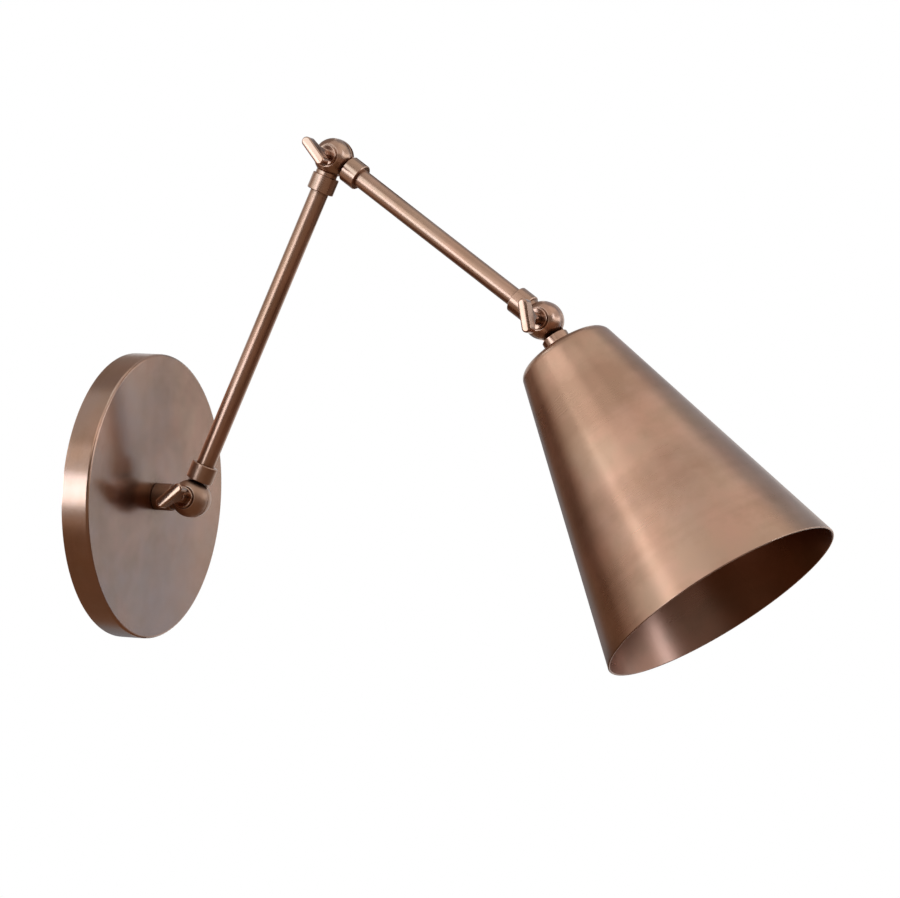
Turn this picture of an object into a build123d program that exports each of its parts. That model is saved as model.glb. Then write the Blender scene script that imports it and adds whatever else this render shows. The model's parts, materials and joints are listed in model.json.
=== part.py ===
from build123d import *
from math import cos, radians, sin
import os

os.makedirs("parts", exist_ok=True)

# Articulating wall light, in millimetres. The origin is the centre of the
# wall plane behind the backplate: +Y goes into the wall, -Y into the room,
# +Z is up, and the thumb screws stand on the -X side. The arms move in the
# plane x = 0.

# Pose of the arms, in degrees above the level line that leads into the room
lower_arm_angle = 69.3
upper_arm_angle = -33.1
shade_angle = -52.25

# Arm lengths, from pivot to pivot
lower_arm_span = 197.0
upper_arm_span = 151.0

# Backplate, a spun dish
plate_diameter = 152.4
plate_depth = 15.4
plate_wall = 1.2
plate_edge_radius = 1.5

# Crossbar behind the plate, slotted for both common wall box spacings
crossbar_length = 106.0
crossbar_width = 20.0
crossbar_thickness = 2.0
crossbar_corner_radius = 4.0
box_spacing_narrow = 69.85
box_spacing_wide = 88.9
box_slot_width = 4.8
ground_screw_offset = 22.0
ground_screw_radius = 2.0
ground_head_radius = 4.2
ground_head_height = 2.6
ground_slot_width = 1.0
ground_slot_depth = 1.1

# Lamp pipe, used for the arms and for the nipples
pipe_radius = 5.0
pipe_wall = 1.4
thread_depth = 7.5
nipple_setback = 0.3

# Nuts and washers on the pipe thread
nut_across_flats = 14.3
nut_thickness = 3.0
nut_edge_chamfer = 0.5
nipple_washer_radius = 8.0
nipple_washer_thickness = 0.8
shade_washer_radius = 11.0
shade_washer_thickness = 1.0

# Swivel ball, made of two halves that meet at x = 0
ball_radius = 10.1
ball_straight = 1.0
seam_gap = 0.3
seam_chamfer = 0.25
neck_radius = 6.2
collar_gap = 0.5
collar_radius = 7.25
collar_edge_chamfer = 0.35
arm_collar_length = 9.0
wall_collar_length = 10.1
shade_collar_length = 8.6

# Inside of the swivel ball
chamber_radius = 8.2
chamber_depth = 3.6
boss_radius = 5.3
friction_washer_radius = 4.3
friction_washer_thickness = 1.0

# Thumb screws
screw_radius = 2.5
screw_length = 16.0
screw_end_room = 0.9
seat_depth = 2.4
flange_radius = 5.6
flange_thickness = 1.7
flange_edge_radius = 0.5
hub_width = 6.4
hub_depth = 6.0
hub_length = 4.0
waist_width = 7.6
waist_depth = 5.6
wing_span = 17.8
wing_thickness = 5.2
wing_flare = 5.9
wing_height = 6.4
wing_crown_radius = 10.0
wing_edge_radius = 0.9
wall_wing_angle = 40.0
elbow_wing_angle = -49.0
shade_wing_angle = -76.0

# Shade, a spun cone with a flat top
shade_height = 156.3
shade_top_radius = 25.0
shade_rim_radius = 66.5
shade_shoulder_radius = 5.7
shade_wall = 1.0
shade_edge_radius = 0.4

# Lamp socket
cap_radius = 18.0
cap_height = 16.0
cap_wall = 1.0
cap_edge_radius = 2.0
socket_body_length = 43.0
socket_terminal_room = 3.6
socket_floor = 7.0
shell_thread_radius = 13.35
shell_wall = 0.6
shell_length = 28.0
shell_setback = 5.0
contact_radius = 4.0
contact_thickness = 0.8
terminal_offset = 10.0
terminal_head_radius = 3.0
terminal_head_height = 2.0
terminal_screw_radius = 1.5
terminal_screw_length = 5.0
terminal_slot_width = 0.8
terminal_slot_depth = 0.9

# Wires: two insulated conductors side by side
wire_radius = 0.9
wire_pitch = 2.0
wire_offset = 2.2
wire_start = 7.0

# Clearances
thread_clearance = 0.05
hole_clearance = 0.3
screw_clearance = 0.06
washer_clearance = 0.1
running_gap = 0.05
flange_clearance = 0.6
wire_clearance = 0.2
cap_clearance = 0.2

# Sizes that follow from the ones above
collar_start = ball_radius + collar_gap
arm_stub = collar_start + arm_collar_length
wall_stub = collar_start + wall_collar_length
shade_stub = collar_start + shade_collar_length
pipe_bore = pipe_radius - pipe_wall
thread_radius = pipe_radius + thread_clearance
seam = seam_gap / 2
ball_end = seam + ball_straight + ball_radius
seat = ball_end - seat_depth
washer_face = friction_washer_thickness / 2
screw_hole_radius = screw_radius + screw_clearance
near_side = -1
far_side = 1
edge_tolerance = 0.001


def heading(angle):
    """Unit vector in the plane of the arms, at an angle above level."""
    return Vector(0, -cos(radians(angle)), sin(radians(angle)))


def stub_plane(pivot, angle):
    """Plane at a pivot: its z runs along the stub, its x along the pivot axis."""
    return Plane(origin=pivot, x_dir=(1, 0, 0), z_dir=heading(angle))


wall_pivot = Vector(0, -(plate_depth + wall_stub), 0)
elbow_pivot = wall_pivot + heading(lower_arm_angle) * lower_arm_span
shade_pivot = elbow_pivot + heading(upper_arm_angle) * upper_arm_span
to_wall = 180.0
wall_line = stub_plane(wall_pivot, to_wall)
lower_line = stub_plane(wall_pivot, lower_arm_angle)
upper_line = stub_plane(elbow_pivot, upper_arm_angle)
shade_line = stub_plane(shade_pivot, shade_angle)


def save(builder, name):
    """Label a finished piece and write it under its own name."""
    builder.part.label = name
    export_step(builder.part, f"parts/{name}.step")


def circles_of(builder, radius):
    """The round edges of a piece that have a radius."""
    round_edges = builder.edges().filter_by(GeomType.CIRCLE)
    return round_edges.filter_by(lambda edge: abs(edge.radius - radius) < edge_tolerance)


def ring(plane, outer, inner, length):
    """Flat ring, standing on a plane."""
    with BuildPart() as piece:
        with BuildSketch(plane):
            Circle(outer)
            Circle(inner, mode=Mode.SUBTRACT)
        extrude(amount=length)
    return piece


def lock_nut(plane):
    """Hexagon nut on the pipe thread, standing on a plane."""
    with BuildPart() as nut:
        with BuildSketch(plane):
            RegularPolygon(nut_across_flats / 2, 6, major_radius=False)
        extrude(amount=nut_thickness)
        chamfer(nut.faces().sort_by(Axis(plane.origin, plane.z_dir))[-1].edges(), nut_edge_chamfer)
        with BuildSketch(plane):
            Circle(thread_radius)
        extrude(amount=nut_thickness, mode=Mode.SUBTRACT)
    return nut


def swivel_half(pivot, angle, side, stub):
    """One half of a swivel ball, with the neck and collar of its own arm."""
    plane = stub_plane(pivot, angle)
    axis = Axis(pivot, (1, 0, 0))
    section = Plane(origin=pivot, x_dir=(1, 0, 0), z_dir=-plane.y_dir)
    split_face = Plane(origin=pivot + Vector(side * seam, 0, 0), z_dir=(side, 0, 0))
    bulge = side * (seam + ball_straight)
    with BuildPart() as half:
        with BuildSketch(section):
            with BuildLine():
                Polyline(
                    (side * (seam + ball_straight + ball_radius), 0),
                    (side * seam, 0),
                    (side * seam, ball_radius - seam_chamfer),
                    (side * (seam + seam_chamfer), ball_radius),
                    (bulge, ball_radius),
                )
                CenterArc((bulge, 0), ball_radius, 90, -90 * side)
            make_face()
        revolve(axis=axis)
        with BuildSketch(plane):
            Circle(neck_radius)
            with Locations((side * (seam + neck_radius), 0)):
                Rectangle(2 * neck_radius, 2 * neck_radius, mode=Mode.INTERSECT)
        extrude(amount=collar_start)
        with BuildSketch(plane.offset(collar_start)):
            Circle(collar_radius)
        extrude(amount=stub - collar_start)
        chamfer(circles_of(half, collar_radius), collar_edge_chamfer)
        with BuildSketch(plane.offset(stub)):
            Circle(thread_radius)
        extrude(amount=-thread_depth, mode=Mode.SUBTRACT)
        with BuildSketch(plane.offset(wire_start)):
            with Locations((side * wire_offset, 0)):
                SlotOverall(
                    wire_pitch + 2 * (wire_radius + wire_clearance),
                    2 * (wire_radius + wire_clearance),
                    rotation=90,
                )
        extrude(amount=stub - thread_depth - wire_start, mode=Mode.SUBTRACT)
        with BuildSketch(split_face):
            Circle(chamber_radius)
            Circle(boss_radius, mode=Mode.SUBTRACT)
        extrude(amount=chamber_depth, mode=Mode.SUBTRACT)
        with BuildSketch(split_face):
            Circle(friction_washer_radius + washer_clearance)
        recess = washer_face - seam + (running_gap if side == far_side else 0)
        extrude(amount=recess, mode=Mode.SUBTRACT)
        with BuildSketch(split_face):
            Circle(screw_hole_radius)
        if side == near_side:
            extrude(amount=ball_end, mode=Mode.SUBTRACT)
            with BuildSketch(Plane(origin=pivot + Vector(-seat, 0, 0), z_dir=(-1, 0, 0))):
                Circle(flange_radius + flange_clearance)
            extrude(amount=seat_depth, mode=Mode.SUBTRACT)
        else:
            extrude(amount=screw_length - seat + screw_end_room - seam, mode=Mode.SUBTRACT)
    return half


def arm_pipe(plane, span):
    """Pipe screwed into the collars at both ends of an arm."""
    start = arm_stub - thread_depth
    return ring(plane.offset(start), pipe_radius, pipe_bore, span - 2 * start)


def friction_washer(pivot):
    """Washer between the bosses of the two halves of a swivel."""
    plane = Plane(origin=pivot + Vector(-washer_face, 0, 0), z_dir=(1, 0, 0))
    return ring(
        plane, friction_washer_radius, screw_hole_radius + washer_clearance, friction_washer_thickness
    )


def thumb_screw(pivot, wing_angle):
    """Clamp screw: a shank, a flange on the ball and a hub that flares into a crowned wing."""
    plane = Plane(
        origin=pivot + Vector(-seat, 0, 0), x_dir=heading(wing_angle), z_dir=(-1, 0, 0)
    )
    across_wing = Plane(origin=plane.origin, x_dir=plane.y_dir, z_dir=plane.x_dir)
    outward = Axis(plane.origin, plane.z_dir)
    hub_top = flange_thickness + hub_length
    wing_top = hub_top + wing_flare + wing_height
    with BuildPart() as screw:
        with BuildSketch(plane):
            Circle(screw_radius)
        extrude(amount=-screw_length)
        with BuildSketch(plane):
            Circle(flange_radius)
        extrude(amount=flange_thickness)
        fillet(circles_of(screw, flange_radius).sort_by(outward)[-1], flange_edge_radius)
        with BuildSketch(plane.offset(flange_thickness)):
            SlotOverall(hub_width, hub_depth)
        extrude(amount=hub_length)
        with BuildSketch(plane.offset(hub_top)):
            SlotOverall(hub_width, hub_depth)
        with BuildSketch(plane.offset(hub_top + wing_flare / 2)):
            SlotOverall(waist_width, waist_depth)
        with BuildSketch(plane.offset(hub_top + wing_flare)):
            SlotOverall(wing_span, wing_thickness)
        loft()
        with BuildSketch(plane.offset(hub_top + wing_flare)):
            SlotOverall(wing_span, wing_thickness)
        extrude(amount=wing_height)
        with BuildSketch(across_wing):
            with Locations((0, wing_top)):
                Rectangle(wing_thickness, wing_thickness)
            with Locations((0, wing_top - wing_crown_radius)):
                Circle(wing_crown_radius, mode=Mode.SUBTRACT)
        extrude(amount=wing_span, both=True, mode=Mode.SUBTRACT)
        fillet(screw.faces().sort_by(outward)[-1].edges(), wing_edge_radius)
    return screw


def wire_pair(start, end, name):
    """Two straight conductors between two points on the centre line of the pair."""
    run = end - start
    plane = Plane(origin=start, x_dir=(1, 0, 0), z_dir=run)
    with BuildPart() as pair:
        with BuildSketch(plane):
            with GridLocations(0, wire_pitch, 1, 2):
                Circle(wire_radius)
        extrude(amount=run.length)
    save(pair, name)


# Backplate: flat face, short rim, open towards the wall, with a hole for the nipple
with BuildPart() as backplate:
    with BuildSketch(Plane.XZ):
        Circle(plate_diameter / 2)
    extrude(amount=plate_depth)
    front_edge = backplate.edges().filter_by(GeomType.CIRCLE).sort_by(Axis.Y)[0]
    fillet(front_edge, plate_edge_radius)
    with BuildSketch(Plane.XZ):
        Circle(plate_diameter / 2 - plate_wall)
    extrude(amount=plate_depth - plate_wall, mode=Mode.SUBTRACT)
    with BuildSketch(Plane.XZ):
        Circle(pipe_radius + hole_clearance)
    extrude(amount=plate_depth, mode=Mode.SUBTRACT)
save(backplate, "backplate")

# Crossbar: strap across the wall box, with two slots, the nipple's thread and an earth thread
box_slot_spacing = (box_spacing_narrow + box_spacing_wide) / 2
box_slot_length = (box_spacing_wide - box_spacing_narrow) / 2 + box_slot_width
with BuildPart() as mounting_crossbar:
    with BuildSketch(Plane.XZ):
        RectangleRounded(crossbar_length, crossbar_width, crossbar_corner_radius)
        Circle(thread_radius, mode=Mode.SUBTRACT)
        with Locations((ground_screw_offset, 0)):
            Circle(ground_screw_radius + thread_clearance, mode=Mode.SUBTRACT)
        with GridLocations(box_slot_spacing, 0, 2, 1):
            SlotOverall(box_slot_length, box_slot_width, mode=Mode.SUBTRACT)
    extrude(amount=crossbar_thickness)
save(mounting_crossbar, "mounting_crossbar")

# Earth screw: slotted flat head on the crossbar
crossbar_front = Plane.XZ.offset(crossbar_thickness)
with BuildPart() as ground_screw:
    with BuildSketch(crossbar_front):
        with Locations((ground_screw_offset, 0)):
            Circle(ground_head_radius)
    extrude(amount=ground_head_height)
    with BuildSketch(crossbar_front):
        with Locations((ground_screw_offset, 0)):
            Circle(ground_screw_radius)
    extrude(amount=nipple_setback - crossbar_thickness)
    with BuildSketch(crossbar_front.offset(ground_head_height)):
        with Locations((ground_screw_offset, 0)):
            Rectangle(2 * ground_head_radius, ground_slot_width)
    extrude(amount=-ground_slot_depth, mode=Mode.SUBTRACT)
save(ground_screw, "ground_screw")

# Nipple from the crossbar through the plate into the wall swivel, with its washer and nut
nipple_length = plate_depth + thread_depth - nipple_setback
mounting_nipple = ring(Plane.XZ.offset(nipple_setback), pipe_radius, pipe_bore, nipple_length)
save(mounting_nipple, "mounting_nipple")
nipple_washer = ring(crossbar_front, nipple_washer_radius, thread_radius, nipple_washer_thickness)
save(nipple_washer, "nipple_washer")
save(lock_nut(crossbar_front.offset(nipple_washer_thickness)), "nipple_lock_nut")

# Swivels: near halves carry the thumb screw's seat, far halves its thread
save(swivel_half(wall_pivot, to_wall, near_side, wall_stub), "wall_swivel_base")
save(swivel_half(wall_pivot, lower_arm_angle, far_side, arm_stub), "wall_swivel_arm")
save(swivel_half(elbow_pivot, lower_arm_angle + to_wall, near_side, arm_stub), "elbow_lower_half")
save(swivel_half(elbow_pivot, upper_arm_angle, far_side, arm_stub), "elbow_upper_half")
save(swivel_half(shade_pivot, upper_arm_angle + to_wall, near_side, arm_stub), "shade_swivel_arm")
save(swivel_half(shade_pivot, shade_angle, far_side, shade_stub), "shade_swivel_head")
save(friction_washer(wall_pivot), "wall_friction_washer")
save(friction_washer(elbow_pivot), "elbow_friction_washer")
save(friction_washer(shade_pivot), "shade_friction_washer")
save(thumb_screw(wall_pivot, wall_wing_angle), "wall_thumb_screw")
save(thumb_screw(elbow_pivot, elbow_wing_angle), "elbow_thumb_screw")
save(thumb_screw(shade_pivot, shade_wing_angle), "shade_thumb_screw")

# Arm pipes
save(arm_pipe(lower_line, lower_arm_span), "lower_arm_tube")
save(arm_pipe(upper_line, upper_arm_span), "upper_arm_tube")

# Shade: thin cone with a rounded shoulder and a flat, holed top
shade_top = shade_line.offset(shade_stub)
with BuildPart() as shade:
    with BuildSketch(shade_top):
        Circle(shade_top_radius)
    with BuildSketch(shade_top.offset(shade_height)):
        Circle(shade_rim_radius)
    loft()
    along = Axis(shade_line.origin, shade_line.z_dir)
    fillet(shade.edges().filter_by(GeomType.CIRCLE).sort_by(along)[0], shade_shoulder_radius)
    offset(amount=-shade_wall, openings=shade.faces().sort_by(along)[-1])
    fillet(shade.faces().sort_by(along)[-1].edges(), shade_edge_radius)
    with BuildSketch(shade_top):
        Circle(pipe_radius + hole_clearance)
    extrude(amount=shade_wall, mode=Mode.SUBTRACT)
save(shade, "shade")

# Nipple, washer and nut that clamp the shade to its swivel
shade_inside = shade_top.offset(shade_wall)
nut_seat = shade_inside.offset(shade_washer_thickness)
cap_top = nut_seat.offset(nut_thickness)
shade_nipple = ring(
    shade_top.offset(-thread_depth),
    pipe_radius,
    pipe_bore,
    thread_depth + shade_wall + shade_washer_thickness + nut_thickness + cap_wall,
)
save(shade_nipple, "shade_nipple")
save(ring(shade_inside, shade_washer_radius, thread_radius, shade_washer_thickness), "shade_washer")
save(lock_nut(nut_seat), "shade_lock_nut")

# Socket cap: a cup screwed on the nipple
with BuildPart() as socket_cap:
    with BuildSketch(cap_top):
        Circle(cap_radius)
    extrude(amount=cap_height)
    fillet(socket_cap.edges().filter_by(GeomType.CIRCLE).sort_by(along)[0], cap_edge_radius)
    offset(amount=-cap_wall, openings=socket_cap.faces().sort_by(along)[-1])
    with BuildSketch(cap_top):
        Circle(thread_radius)
    extrude(amount=cap_wall, mode=Mode.SUBTRACT)
save(socket_cap, "socket_cap")

# Socket body: insulating barrel with the screw shell's bore
body_radius = cap_radius - cap_wall - cap_clearance
body_top = cap_top.offset(cap_wall + socket_terminal_room)
shell_radius = shell_thread_radius + shell_wall
with BuildPart() as socket_body:
    with BuildSketch(body_top):
        Circle(body_radius)
    extrude(amount=socket_body_length)
    with BuildSketch(body_top.offset(socket_floor)):
        Circle(shell_radius + thread_clearance)
    extrude(amount=socket_body_length - socket_floor, mode=Mode.SUBTRACT)
    with BuildSketch(body_top):
        with GridLocations(0, 2 * terminal_offset, 1, 2):
            Circle(terminal_screw_radius + thread_clearance)
    extrude(amount=terminal_screw_length, mode=Mode.SUBTRACT)
save(socket_body, "socket_body")

# Screw shell and centre contact
shell_top = body_top.offset(socket_body_length - shell_setback - shell_length)
save(ring(shell_top, shell_radius, shell_thread_radius, shell_length), "socket_screw_shell")
with BuildPart() as socket_contact:
    with BuildSketch(body_top.offset(socket_floor)):
        Circle(contact_radius)
    extrude(amount=contact_thickness)
save(socket_contact, "socket_contact")

# Terminal screws on top of the socket body
with BuildPart() as socket_terminal_screws:
    with BuildSketch(body_top):
        with GridLocations(0, 2 * terminal_offset, 1, 2):
            Circle(terminal_screw_radius)
    extrude(amount=terminal_screw_length)
    with BuildSketch(body_top):
        with GridLocations(0, 2 * terminal_offset, 1, 2):
            Circle(terminal_head_radius)
    extrude(amount=-terminal_head_height)
    with BuildSketch(body_top.offset(-terminal_head_height)):
        with GridLocations(0, 2 * terminal_offset, 1, 2):
            Rectangle(2 * terminal_head_radius, terminal_slot_width)
    extrude(amount=terminal_slot_depth, mode=Mode.SUBTRACT)
save(socket_terminal_screws, "socket_terminal_screws")


def wire_point(plane, side, distance):
    """Point on the centre line of a pair of wires, beside the line of an arm."""
    return plane.origin + plane.z_dir * distance + Vector(side * wire_offset, 0, 0)


# Wires, one stretch for each rigid body
wall_run = plate_depth + wall_stub - nipple_setback
head_run = shade_stub + shade_wall + shade_washer_thickness + nut_thickness + cap_wall
wire_pair(
    wire_point(wall_line, near_side, wire_start), wire_point(wall_line, near_side, wall_run), "base_wires"
)
wire_pair(
    wire_point(lower_line, far_side, wire_start),
    wire_point(lower_line, near_side, lower_arm_span - wire_start),
    "lower_arm_wires",
)
wire_pair(
    wire_point(upper_line, far_side, wire_start),
    wire_point(upper_line, near_side, upper_arm_span - wire_start),
    "upper_arm_wires",
)
wire_pair(
    wire_point(shade_line, far_side, wire_start), wire_point(shade_line, far_side, head_run), "head_wires"
)
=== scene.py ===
import json
from math import cos, pi, radians, sin

import bmesh
import bpy
from bpy.props import FloatProperty, FloatVectorProperty, PointerProperty
from mathutils import Matrix, Vector


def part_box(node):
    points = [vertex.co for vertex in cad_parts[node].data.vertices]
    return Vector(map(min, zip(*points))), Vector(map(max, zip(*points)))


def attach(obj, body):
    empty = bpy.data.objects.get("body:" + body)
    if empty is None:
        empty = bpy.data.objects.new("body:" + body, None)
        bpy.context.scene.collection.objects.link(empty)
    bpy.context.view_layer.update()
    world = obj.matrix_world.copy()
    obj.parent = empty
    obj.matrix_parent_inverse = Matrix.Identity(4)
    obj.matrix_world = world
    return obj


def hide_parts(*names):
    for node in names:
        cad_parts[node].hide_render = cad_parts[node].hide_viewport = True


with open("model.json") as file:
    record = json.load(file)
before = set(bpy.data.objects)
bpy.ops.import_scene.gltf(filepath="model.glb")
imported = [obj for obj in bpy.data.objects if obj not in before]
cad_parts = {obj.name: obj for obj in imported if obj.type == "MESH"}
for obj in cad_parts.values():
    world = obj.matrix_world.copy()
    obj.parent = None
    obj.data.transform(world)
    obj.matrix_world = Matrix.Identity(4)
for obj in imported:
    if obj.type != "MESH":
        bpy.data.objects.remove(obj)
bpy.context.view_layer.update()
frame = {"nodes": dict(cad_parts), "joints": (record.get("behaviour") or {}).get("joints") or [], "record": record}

bl_info = {
    "name": "Articulating Wall Light",
    "version": (1, 0, 0),
    "blender": (4, 5, 0),
    "location": "3D View > Sidebar > Wall Light",
    "description": "Dresses a jointed copper wall light in its finishes and sets a small studio round it",
    "category": "Object",
}

MM = 0.001

# Shifts that keep one cloud of the patina from repeating another
FLUSH_SHIFT = (7.7, 2.9, 4.1)
VEIL_SHIFT = (3.1, 1.7, 5.3)

OCCLUSION_SAMPLES = 6
FLOOR_SIDES = 96
FLAG_SIDES = 64
CARD_STEPS = 12
CAMERA_CLIP = 20.0

# Points and lines of the light. The wall is the plane y = 0, and the swivels turn about x
joints = {joint["name"]: joint for joint in frame["joints"]}
mounts = {mount["name"]: mount for mount in frame["record"]["mounts"]}
wall_pivot = Vector(joints["wall_swivel"]["pos_m"])
elbow_pivot = Vector(joints["elbow_swivel"]["pos_m"])
shade_pivot = Vector(joints["shade_swivel"]["pos_m"])
lamp_seat = Vector(mounts["lamp_socket"]["pos_m"])
wall_centre = Vector(mounts["box_screws"]["pos_m"])
pivot_axis = Vector((1, 0, 0))
wall_axis = Vector((0, -1, 0))
lower_axis = (elbow_pivot - wall_pivot).normalized()
upper_axis = (shade_pivot - elbow_pivot).normalized()
shade_axis = Vector(mounts["lamp_socket"]["axis"]).normalized()


class Value:
    """An output socket. Arithmetic on it adds Math nodes, and other outputs of its node go by name."""

    def __init__(self, recipe, socket):
        self.recipe = recipe
        self.socket = socket

    def __getitem__(self, output):
        return Value(self.recipe, self.socket.node.outputs[output])

    def __add__(self, other):
        return self.recipe.math("ADD", self, other)

    __radd__ = __add__

    def __sub__(self, other):
        return self.recipe.math("SUBTRACT", self, other)

    def __rsub__(self, other):
        return self.recipe.math("SUBTRACT", other, self)

    def __mul__(self, other):
        return self.recipe.math("MULTIPLY", self, other)

    __rmul__ = __mul__

    def __truediv__(self, other):
        return self.recipe.math("DIVIDE", self, other)

    def __rtruediv__(self, other):
        return self.recipe.math("DIVIDE", other, self)


class Recipe:
    """The nodes of one material or world."""

    def __init__(self, owner):
        owner.use_nodes = True
        self.tree = owner.node_tree
        self.tree.nodes.clear()

    def node(self, kind, settings=None, sockets=None):
        """Add a node: its settings first, then the values or links of its sockets."""
        made = self.tree.nodes.new(kind)
        for name, setting in (settings or {}).items():
            if name == "stops":
                self.set_stops(made.color_ramp, setting)
            else:
                setattr(made, name, setting)
        for name, value in (sockets or {}).items():
            if isinstance(value, Value):
                self.tree.links.new(value.socket, made.inputs[name])
            else:
                made.inputs[name].default_value = value
        enabled = [output for output in made.outputs if output.enabled]
        return Value(self, enabled[0]) if enabled else None

    def set_stops(self, ramp, stops):
        """Give a ramp its two stops, as pairs of a place and a grey level."""
        for element, (place, level) in zip(ramp.elements, stops):
            element.position = place
            element.color = (level, level, level, 1.0)

    def math(self, operation, *terms):
        """Result of a Math node on some values."""
        return self.node("ShaderNodeMath", {"operation": operation}, dict(enumerate(terms)))

    def vector(self, operation, *terms):
        """Result of a Vector Math node on some vectors."""
        return self.node("ShaderNodeVectorMath", {"operation": operation}, dict(enumerate(terms)))

    def scaled(self, vector, factor):
        """A vector times a value."""
        return self.node("ShaderNodeVectorMath", {"operation": "SCALE"}, {0: vector, "Scale": factor})

    def dot(self, vector, other):
        """How far a vector reaches along another."""
        return self.vector("DOT_PRODUCT", vector, other)["Value"]

    def mix(self, factor, first, second):
        """Blend two colours."""
        settings = {"data_type": "RGBA"}
        return self.node("ShaderNodeMix", settings, {"Factor": factor, 6: first, 7: second})

    def noise(self, vector, scale, detail, roughness):
        """Soft noise between 0 and 1 over a place."""
        sockets = {"Vector": vector, "Scale": scale, "Detail": detail, "Roughness": roughness}
        return self.node("ShaderNodeTexNoise", {}, sockets)

    def ramp(self, value, stops):
        """Remap a value through grey stops."""
        return self.node("ShaderNodeValToRGB", {"stops": stops}, {"Fac": value})

    def place(self):
        """Position on the piece, which moves with it."""
        return self.node("ShaderNodeTexCoord")["Object"]

    def occlusion(self, reach, inside):
        """Share of open space near a surface, or near its inner side, where edges count."""
        settings = {"samples": OCCLUSION_SAMPLES, "inside": inside, "only_local": inside}
        return self.node("ShaderNodeAmbientOcclusion", settings, {"Distance": reach})["AO"]

    def surface(self, **sockets):
        """Close a material with one shader. Its sockets go by their names in small letters."""
        shader = self.node("ShaderNodeBsdfPrincipled", {}, {
            name.replace("_", " ").title(): value for name, value in sockets.items()
        })
        self.node("ShaderNodeOutputMaterial", {}, {"Surface": shader})

    def bump(self, height, normal=None):
        """Normal of a surface raised by a height in metres, over its own normal or another."""
        sockets = {"Height": height, "Distance": 1.0, "Strength": 1.0}
        if normal:
            sockets["Normal"] = normal
        return self.node("ShaderNodeBump", {}, sockets)


def split_by_axis(recipe, centre, axis):
    """How far a place lies along an axis, and its offset straight out from that axis."""
    offset = recipe.vector("SUBTRACT", recipe.place(), centre)
    along = recipe.dot(offset, axis)
    return along, recipe.vector("SUBTRACT", offset, recipe.scaled(axis, along))


def turned_grain(recipe, centre, axis, fineness, sweep):
    """Coordinates for marks that run round an axis: fine along the profile, slow round it."""
    along, radial = split_by_axis(recipe, centre, axis)
    profile = along + recipe.vector("LENGTH", radial)["Value"]
    spoke = recipe.scaled(recipe.vector("NORMALIZE", radial), sweep)
    return recipe.vector("ADD", spoke, recipe.scaled(axis, profile * fineness))


def drawn_grain(recipe, centre, axis, fineness, stretch):
    """Coordinates for marks that run along an axis: fine across it, slow along it."""
    along, across = split_by_axis(recipe, centre, axis)
    return recipe.vector("ADD", recipe.scaled(across, fineness), recipe.scaled(axis, along * stretch))


def new_material(name):
    """A new material and the recipe for its nodes."""
    material = bpy.data.materials.new(name)
    return material, Recipe(material)


def rgba(colour):
    """A colour with full alpha."""
    return (*colour, 1.0)


def inner_side(recipe, centre, axis):
    """One on surfaces that face an axis, zero on ends and on surfaces that face away from it."""
    radial = split_by_axis(recipe, centre, axis)[1]
    facing = recipe.dot(recipe.node("ShaderNodeTexCoord")["Normal"], radial)
    tolerance = 0.1 * MM
    return recipe.math("LESS_THAN", facing, -tolerance)


def swelling_normal(recipe, centre, axis, radius, rise):
    """Normal of a round face that swells a little towards its axis."""
    radial = split_by_axis(recipe, centre, axis)[1]
    lean = recipe.node(
        "ShaderNodeVectorTransform",
        {"vector_type": "VECTOR", "convert_from": "OBJECT", "convert_to": "WORLD"},
        {"Vector": recipe.scaled(radial, 2 * rise / radius**2)},
    )
    flat = recipe.node("ShaderNodeNewGeometry")["Normal"]
    return recipe.vector("NORMALIZE", recipe.vector("ADD", flat, lean))


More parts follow.
